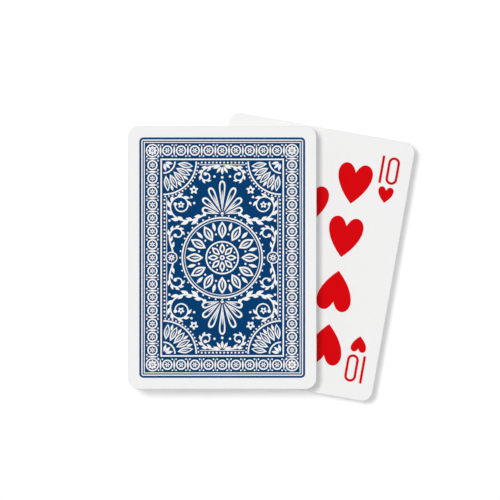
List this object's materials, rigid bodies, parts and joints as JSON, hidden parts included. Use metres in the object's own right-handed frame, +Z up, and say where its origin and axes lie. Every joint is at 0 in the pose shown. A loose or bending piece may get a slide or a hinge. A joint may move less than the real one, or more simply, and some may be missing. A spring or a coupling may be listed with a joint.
{
  "type": "playing card deck",
  "caption": "Deck of playing cards lying as two packets, a face-down packet across a face-up one; cards fan out, slide off and square up.",
  "frame": {"origin": "middle of the underside of the lowest card, where the deck rests on the table", "axes": "+Z up through the packets, +Y along the face-down packet's long side towards the top of the picture, +X to the picture's right"},
  "size_m": [0.0963, 0.0968, 0.0167],
  "materials": {
    "card_stock": "satin",
    "blue_ink": "satin",
    "red_ink": "satin",
    "black_ink": "satin"
  },
  "bodies": {
    "king_of_spades": {"king_of_spades": "card_stock"},
    "four_of_diamonds": {"four_of_diamonds": "card_stock"},
    "eight_of_clubs": {"eight_of_clubs": "card_stock"},
    "ten_of_spades": {"ten_of_spades": "card_stock"},
    "ace_of_diamonds": {"ace_of_diamonds": "card_stock"},
    "five_of_clubs": {"five_of_clubs": "card_stock"},
    "seven_of_spades": {"seven_of_spades": "card_stock"},
    "jack_of_hearts": {"jack_of_hearts": "card_stock"},
    "two_of_clubs": {"two_of_clubs": "card_stock"},
    "four_of_spades": {"four_of_spades": "card_stock"},
    "eight_of_hearts": {"eight_of_hearts": "card_stock"},
    "queen_of_diamonds": {"queen_of_diamonds": "card_stock"},
    "ace_of_spades": {"ace_of_spades": "card_stock"},
    "five_of_hearts": {"five_of_hearts": "card_stock"},
    "nine_of_diamonds": {"nine_of_diamonds": "card_stock"},
    "king_of_clubs": {"king_of_clubs": "card_stock"},
    "two_of_hearts": {"two_of_hearts": "card_stock"},
    "six_of_diamonds": {"six_of_diamonds": "card_stock"},
    "ten_of_clubs": {"ten_of_clubs": "card_stock"},
    "queen_of_spades": {"queen_of_spades": "card_stock"},
    "three_of_diamonds": {"three_of_diamonds": "card_stock"},
    "seven_of_clubs": {"seven_of_clubs": "card_stock"},
    "nine_of_spades": {"nine_of_spades": "card_stock"},
    "king_of_hearts": {"king_of_hearts": "card_stock"},
    "four_of_clubs": {"four_of_clubs": "card_stock"},
    "six_of_spades": {"six_of_spades": "card_stock"},
    "ten_of_hearts": {"ten_of_hearts": "card_stock", "ten_of_hearts_print": "red_ink"},
    "ace_of_clubs": {"ace_of_clubs": "card_stock"},
    "three_of_spades": {"three_of_spades": "card_stock"},
    "seven_of_hearts": {"seven_of_hearts": "card_stock"},
    "jack_of_diamonds": {"jack_of_diamonds": "card_stock"},
    "black_joker": {"black_joker": "card_stock"},
    "four_of_hearts": {"four_of_hearts": "card_stock"},
    "eight_of_diamonds": {"eight_of_diamonds": "card_stock"},
    "queen_of_clubs": {"queen_of_clubs": "card_stock"},
    "ace_of_hearts": {"ace_of_hearts": "card_stock"},
    "five_of_diamonds": {"five_of_diamonds": "card_stock"},
    "nine_of_clubs": {"nine_of_clubs": "card_stock"},
    "jack_of_spades": {"jack_of_spades": "card_stock"},
    "two_of_diamonds": {"two_of_diamonds": "card_stock"},
    "six_of_clubs": {"six_of_clubs": "card_stock"},
    "eight_of_spades": {"eight_of_spades": "card_stock"},
    "queen_of_hearts": {"queen_of_hearts": "card_stock"},
    "three_of_clubs": {"three_of_clubs": "card_stock"},
    "five_of_spades": {"five_of_spades": "card_stock"},
    "nine_of_hearts": {"nine_of_hearts": "card_stock"},
    "king_of_diamonds": {"king_of_diamonds": "card_stock"},
    "two_of_spades": {"two_of_spades": "card_stock"},
    "six_of_hearts": {"six_of_hearts": "card_stock"},
    "ten_of_diamonds": {"ten_of_diamonds": "card_stock"},
    "red_joker": {"red_joker": "card_stock"},
    "three_of_hearts": {"three_of_hearts": "card_stock"},
    "seven_of_diamonds": {"seven_of_diamonds": "card_stock"},
    "jack_of_clubs": {"jack_of_clubs": "card_stock", "top_card_back_print": "blue_ink"}
  },
  "joints": [
    {"name": "square_up", "type": "hinge", "parent": "king_of_spades", "child": "ace_of_clubs", "pos_m": [-0.01206, -0.15098, 0.00837], "axis": [0, 0, -1], "range_deg": [0, 10]},
    {"name": "lower_fan", "type": "hinge", "parent": "king_of_spades", "child": "six_of_spades", "pos_m": [-0.03461, -0.03502, 0], "axis": [0, 0, -1], "range_deg": [0, 160]},
    {"name": "lower_fan_four_of_diamonds", "type": "hinge", "parent": "king_of_spades", "child": "four_of_diamonds", "pos_m": [-0.03461, -0.03502, 0], "axis": [0, 0, -1], "range_deg": [0, 6.4]},
    {"name": "lower_fan_eight_of_clubs", "type": "hinge", "parent": "king_of_spades", "child": "eight_of_clubs", "pos_m": [-0.03461, -0.03502, 0], "axis": [0, 0, -1], "range_deg": [0, 12.8]},
    {"name": "lower_fan_ten_of_spades", "type": "hinge", "parent": "king_of_spades", "child": "ten_of_spades", "pos_m": [-0.03461, -0.03502, 0], "axis": [0, 0, -1], "range_deg": [0, 19.2]},
    {"name": "lower_fan_ace_of_diamonds", "type": "hinge", "parent": "king_of_spades", "child": "ace_of_diamonds", "pos_m": [-0.03461, -0.03502, 0], "axis": [0, 0, -1], "range_deg": [0, 25.6]},
    {"name": "lower_fan_five_of_clubs", "type": "hinge", "parent": "king_of_spades", "child": "five_of_clubs", "pos_m": [-0.03461, -0.03502, 0], "axis": [0, 0, -1], "range_deg": [0, 32]},
    {"name": "lower_fan_seven_of_spades", "type": "hinge", "parent": "king_of_spades", "child": "seven_of_spades", "pos_m": [-0.03461, -0.03502, 0], "axis": [0, 0, -1], "range_deg": [0, 38.4]},
    {"name": "lower_fan_jack_of_hearts", "type": "hinge", "parent": "king_of_spades", "child": "jack_of_hearts", "pos_m": [-0.03461, -0.03502, 0], "axis": [0, 0, -1], "range_deg": [0, 44.8]},
    {"name": "lower_fan_two_of_clubs", "type": "hinge", "parent": "king_of_spades", "child": "two_of_clubs", "pos_m": [-0.03461, -0.03502, 0], "axis": [0, 0, -1], "range_deg": [0, 51.2]},
    {"name": "lower_fan_four_of_spades", "type": "hinge", "parent": "king_of_spades", "child": "four_of_spades", "pos_m": [-0.03461, -0.03502, 0], "axis": [0, 0, -1], "range_deg": [0, 57.6]},
    {"name": "lower_fan_eight_of_hearts", "type": "hinge", "parent": "king_of_spades", "child": "eight_of_hearts", "pos_m": [-0.03461, -0.03502, 0], "axis": [0, 0, -1], "range_deg": [0, 64]},
    {"name": "lower_fan_queen_of_diamonds", "type": "hinge", "parent": "king_of_spades", "child": "queen_of_diamonds", "pos_m": [-0.03461, -0.03502, 0], "axis": [0, 0, -1], "range_deg": [0, 70.4]},
    {"name": "lower_fan_ace_of_spades", "type": "hinge", "parent": "king_of_spades", "child": "ace_of_spades", "pos_m": [-0.03461, -0.03502, 0], "axis": [0, 0, -1], "range_deg": [0, 76.8]},
    {"name": "lower_fan_five_of_hearts", "type": "hinge", "parent": "king_of_spades", "child": "five_of_hearts", "pos_m": [-0.03461, -0.03502, 0], "axis": [0, 0, -1], "range_deg": [0, 83.2]},
    {"name": "lower_fan_nine_of_diamonds", "type": "hinge", "parent": "king_of_spades", "child": "nine_of_diamonds", "pos_m": [-0.03461, -0.03502, 0], "axis": [0, 0, -1], "range_deg": [0, 89.6]},
    {"name": "lower_fan_king_of_clubs", "type": "hinge", "parent": "king_of_spades", "child": "king_of_clubs", "pos_m": [-0.03461, -0.03502, 0], "axis": [0, 0, -1], "range_deg": [0, 96]},
    {"name": "lower_fan_two_of_hearts", "type": "hinge", "parent": "king_of_spades", "child": "two_of_hearts", "pos_m": [-0.03461, -0.03502, 0], "axis": [0, 0, -1], "range_deg": [0, 102.4]},
    {"name": "lower_fan_six_of_diamonds", "type": "hinge", "parent": "king_of_spades", "child": "six_of_diamonds", "pos_m": [-0.03461, -0.03502, 0], "axis": [0, 0, -1], "range_deg": [0, 108.8]},
    {"name": "lower_fan_ten_of_clubs", "type": "hinge", "parent": "king_of_spades", "child": "ten_of_clubs", "pos_m": [-0.03461, -0.03502, 0], "axis": [0, 0, -1], "range_deg": [0, 115.2]},
    {"name": "lower_fan_queen_of_spades", "type": "hinge", "parent": "king_of_spades", "child": "queen_of_spades", "pos_m": [-0.03461, -0.03502, 0], "axis": [0, 0, -1], "range_deg": [0, 121.6]},
    {"name": "lower_fan_three_of_diamonds", "type": "hinge", "parent": "king_of_spades", "child": "three_of_diamonds", "pos_m": [-0.03461, -0.03502, 0], "axis": [0, 0, -1], "range_deg": [0, 128]},
    {"name": "lower_fan_seven_of_clubs", "type": "hinge", "parent": "king_of_spades", "child": "seven_of_clubs", "pos_m": [-0.03461, -0.03502, 0], "axis": [0, 0, -1], "range_deg": [0, 134.4]},
    {"name": "lower_fan_nine_of_spades", "type": "hinge", "parent": "king_of_spades", "child": "nine_of_spades", "pos_m": [-0.03461, -0.03502, 0], "axis": [0, 0, -1], "range_deg": [0, 140.8]},
    {"name": "lower_fan_king_of_hearts", "type": "hinge", "parent": "king_of_spades", "child": "king_of_hearts", "pos_m": [-0.03461, -0.03502, 0], "axis": [0, 0, -1], "range_deg": [0, 147.2]},
    {"name": "lower_fan_four_of_clubs", "type": "hinge", "parent": "king_of_spades", "child": "four_of_clubs", "pos_m": [-0.03461, -0.03502, 0], "axis": [0, 0, -1], "range_deg": [0, 153.6]},
    {"name": "upper_fan", "type": "hinge", "parent": "ace_of_clubs", "child": "seven_of_diamonds", "pos_m": [0.0016, -0.0407, 0.00837], "axis": [0, 0, 1], "range_deg": [0, 160]},
    {"name": "upper_fan_three_of_spades", "type": "hinge", "parent": "ace_of_clubs", "child": "three_of_spades", "pos_m": [0.0016, -0.0407, 0.00837], "axis": [0, 0, 1], "range_deg": [0, 6.4]},
    {"name": "upper_fan_seven_of_hearts", "type": "hinge", "parent": "ace_of_clubs", "child": "seven_of_hearts", "pos_m": [0.0016, -0.0407, 0.00837], "axis": [0, 0, 1], "range_deg": [0, 12.8]},
    {"name": "upper_fan_jack_of_diamonds", "type": "hinge", "parent": "ace_of_clubs", "child": "jack_of_diamonds", "pos_m": [0.0016, -0.0407, 0.00837], "axis": [0, 0, 1], "range_deg": [0, 19.2]},
    {"name": "upper_fan_black_joker", "type": "hinge", "parent": "ace_of_clubs", "child": "black_joker", "pos_m": [0.0016, -0.0407, 0.00837], "axis": [0, 0, 1], "range_deg": [0, 25.6]},
    {"name": "upper_fan_four_of_hearts", "type": "hinge", "parent": "ace_of_clubs", "child": "four_of_hearts", "pos_m": [0.0016, -0.0407, 0.00837], "axis": [0, 0, 1], "range_deg": [0, 32]},
    {"name": "upper_fan_eight_of_diamonds", "type": "hinge", "parent": "ace_of_clubs", "child": "eight_of_diamonds", "pos_m": [0.0016, -0.0407, 0.00837], "axis": [0, 0, 1], "range_deg": [0, 38.4]},
    {"name": "upper_fan_queen_of_clubs", "type": "hinge", "parent": "ace_of_clubs", "child": "queen_of_clubs", "pos_m": [0.0016, -0.0407, 0.00837], "axis": [0, 0, 1], "range_deg": [0, 44.8]},
    {"name": "upper_fan_ace_of_hearts", "type": "hinge", "parent": "ace_of_clubs", "child": "ace_of_hearts", "pos_m": [0.0016, -0.0407, 0.00837], "axis": [0, 0, 1], "range_deg": [0, 51.2]},
    {"name": "upper_fan_five_of_diamonds", "type": "hinge", "parent": "ace_of_clubs", "child": "five_of_diamonds", "pos_m": [0.0016, -0.0407, 0.00837], "axis": [0, 0, 1], "range_deg": [0, 57.6]},
    {"name": "upper_fan_nine_of_clubs", "type": "hinge", "parent": "ace_of_clubs", "child": "nine_of_clubs", "pos_m": [0.0016, -0.0407, 0.00837], "axis": [0, 0, 1], "range_deg": [0, 64]},
    {"name": "upper_fan_jack_of_spades", "type": "hinge", "parent": "ace_of_clubs", "child": "jack_of_spades", "pos_m": [0.0016, -0.0407, 0.00837], "axis": [0, 0, 1], "range_deg": [0, 70.4]},
    {"name": "upper_fan_two_of_diamonds", "type": "hinge", "parent": "ace_of_clubs", "child": "two_of_diamonds", "pos_m": [0.0016, -0.0407, 0.00837], "axis": [0, 0, 1], "range_deg": [0, 76.8]},
    {"name": "upper_fan_six_of_clubs", "type": "hinge", "parent": "ace_of_clubs", "child": "six_of_clubs", "pos_m": [0.0016, -0.0407, 0.00837], "axis": [0, 0, 1], "range_deg": [0, 83.2]},
    {"name": "upper_fan_eight_of_spades", "type": "hinge", "parent": "ace_of_clubs", "child": "eight_of_spades", "pos_m": [0.0016, -0.0407, 0.00837], "axis": [0, 0, 1], "range_deg": [0, 89.6]},
    {"name": "upper_fan_queen_of_hearts", "type": "hinge", "parent": "ace_of_clubs", "child": "queen_of_hearts", "pos_m": [0.0016, -0.0407, 0.00837], "axis": [0, 0, 1], "range_deg": [0, 96]},
    {"name": "upper_fan_three_of_clubs", "type": "hinge", "parent": "ace_of_clubs", "child": "three_of_clubs", "pos_m": [0.0016, -0.0407, 0.00837], "axis": [0, 0, 1], "range_deg": [0, 102.4]},
    {"name": "upper_fan_five_of_spades", "type": "hinge", "parent": "ace_of_clubs", "child": "five_of_spades", "pos_m": [0.0016, -0.0407, 0.00837], "axis": [0, 0, 1], "range_deg": [0, 108.8]},
    {"name": "upper_fan_nine_of_hearts", "type": "hinge", "parent": "ace_of_clubs", "child": "nine_of_hearts", "pos_m": [0.0016, -0.0407, 0.00837], "axis": [0, 0, 1], "range_deg": [0, 115.2]},
    {"name": "upper_fan_king_of_diamonds", "type": "hinge", "parent": "ace_of_clubs", "child": "king_of_diamonds", "pos_m": [0.0016, -0.0407, 0.00837], "axis": [0, 0, 1], "range_deg": [0, 121.6]},
    {"name": "upper_fan_two_of_spades", "type": "hinge", "parent": "ace_of_clubs", "child": "two_of_spades", "pos_m": [0.0016, -0.0407, 0.00837], "axis": [0, 0, 1], "range_deg": [0, 128]},
    {"name": "upper_fan_six_of_hearts", "type": "hinge", "parent": "ace_of_clubs", "child": "six_of_hearts", "pos_m": [0.0016, -0.0407, 0.00837], "axis": [0, 0, 1], "range_deg": [0, 134.4]},
    {"name": "upper_fan_ten_of_diamonds", "type": "hinge", "parent": "ace_of_clubs", "child": "ten_of_diamonds", "pos_m": [0.0016, -0.0407, 0.00837], "axis": [0, 0, 1], "range_deg": [0, 140.8]},
    {"name": "upper_fan_red_joker", "type": "hinge", "parent": "ace_of_clubs", "child": "red_joker", "pos_m": [0.0016, -0.0407, 0.00837], "axis": [0, 0, 1], "range_deg": [0, 147.2]},
    {"name": "upper_fan_three_of_hearts", "type": "hinge", "parent": "ace_of_clubs", "child": "three_of_hearts", "pos_m": [0.0016, -0.0407, 0.00837], "axis": [0, 0, 1], "range_deg": [0, 153.6]},
    {"name": "ten_draw", "type": "slide", "parent": "six_of_spades", "child": "ten_of_hearts", "axis": [0.9848, -0.1736, 0], "range_m": [-0.028, 0.028]},
    {"name": "top_card_deal", "type": "slide", "parent": "seven_of_diamonds", "child": "jack_of_clubs", "axis": [0, 1, 0], "range_m": [-0.0405, 0.0405]}
  ],
  "couplings": [
    {"joint": "lower_fan_four_of_diamonds", "follows": "lower_fan", "ratio": 0.04},
    {"joint": "lower_fan_eight_of_clubs", "follows": "lower_fan", "ratio": 0.08},
    {"joint": "lower_fan_ten_of_spades", "follows": "lower_fan", "ratio": 0.12},
    {"joint": "lower_fan_ace_of_diamonds", "follows": "lower_fan", "ratio": 0.16},
    {"joint": "lower_fan_five_of_clubs", "follows": "lower_fan", "ratio": 0.2},
    {"joint": "lower_fan_seven_of_spades", "follows": "lower_fan", "ratio": 0.24},
    {"joint": "lower_fan_jack_of_hearts", "follows": "lower_fan", "ratio": 0.28},
    {"joint": "lower_fan_two_of_clubs", "follows": "lower_fan", "ratio": 0.32},
    {"joint": "lower_fan_four_of_spades", "follows": "lower_fan", "ratio": 0.36},
    {"joint": "lower_fan_eight_of_hearts", "follows": "lower_fan", "ratio": 0.4},
    {"joint": "lower_fan_queen_of_diamonds", "follows": "lower_fan", "ratio": 0.44},
    {"joint": "lower_fan_ace_of_spades", "follows": "lower_fan", "ratio": 0.48},
    {"joint": "lower_fan_five_of_hearts", "follows": "lower_fan", "ratio": 0.52},
    {"joint": "lower_fan_nine_of_diamonds", "follows": "lower_fan", "ratio": 0.56},
    {"joint": "lower_fan_king_of_clubs", "follows": "lower_fan", "ratio": 0.6},
    {"joint": "lower_fan_two_of_hearts", "follows": "lower_fan", "ratio": 0.64},
    {"joint": "lower_fan_six_of_diamonds", "follows": "lower_fan", "ratio": 0.68},
    {"joint": "lower_fan_ten_of_clubs", "follows": "lower_fan", "ratio": 0.72},
    {"joint": "lower_fan_queen_of_spades", "follows": "lower_fan", "ratio": 0.76},
    {"joint": "lower_fan_three_of_diamonds", "follows": "lower_fan", "ratio": 0.8},
    {"joint": "lower_fan_seven_of_clubs", "follows": "lower_fan", "ratio": 0.84},
    {"joint": "lower_fan_nine_of_spades", "follows": "lower_fan", "ratio": 0.88},
    {"joint": "lower_fan_king_of_hearts", "follows": "lower_fan", "ratio": 0.92},
    {"joint": "lower_fan_four_of_clubs", "follows": "lower_fan", "ratio": 0.96},
    {"joint": "upper_fan_three_of_spades", "follows": "upper_fan", "ratio": 0.04},
    {"joint": "upper_fan_seven_of_hearts", "follows": "upper_fan", "ratio": 0.08},
    {"joint": "upper_fan_jack_of_diamonds", "follows": "upper_fan", "ratio": 0.12},
    {"joint": "upper_fan_black_joker", "follows": "upper_fan", "ratio": 0.16},
    {"joint": "upper_fan_four_of_hearts", "follows": "upper_fan", "ratio": 0.2},
    {"joint": "upper_fan_eight_of_diamonds", "follows": "upper_fan", "ratio": 0.24},
    {"joint": "upper_fan_queen_of_clubs", "follows": "upper_fan", "ratio": 0.28},
    {"joint": "upper_fan_ace_of_hearts", "follows": "upper_fan", "ratio": 0.32},
    {"joint": "upper_fan_five_of_diamonds", "follows": "upper_fan", "ratio": 0.36},
    {"joint": "upper_fan_nine_of_clubs", "follows": "upper_fan", "ratio": 0.4},
    {"joint": "upper_fan_jack_of_spades", "follows": "upper_fan", "ratio": 0.44},
    {"joint": "upper_fan_two_of_diamonds", "follows": "upper_fan", "ratio": 0.48},
    {"joint": "upper_fan_six_of_clubs", "follows": "upper_fan", "ratio": 0.52},
    {"joint": "upper_fan_eight_of_spades", "follows": "upper_fan", "ratio": 0.56},
    {"joint": "upper_fan_queen_of_hearts", "follows": "upper_fan", "ratio": 0.6},
    {"joint": "upper_fan_three_of_clubs", "follows": "upper_fan", "ratio": 0.64},
    {"joint": "upper_fan_five_of_spades", "follows": "upper_fan", "ratio": 0.68},
    {"joint": "upper_fan_nine_of_hearts", "follows": "upper_fan", "ratio": 0.72},
    {"joint": "upper_fan_king_of_diamonds", "follows": "upper_fan", "ratio": 0.76},
    {"joint": "upper_fan_two_of_spades", "follows": "upper_fan", "ratio": 0.8},
    {"joint": "upper_fan_six_of_hearts", "follows": "upper_fan", "ratio": 0.84},
    {"joint": "upper_fan_ten_of_diamonds", "follows": "upper_fan", "ratio": 0.88},
    {"joint": "upper_fan_red_joker", "follows": "upper_fan", "ratio": 0.92},
    {"joint": "upper_fan_three_of_hearts", "follows": "upper_fan", "ratio": 0.96}
  ]
}
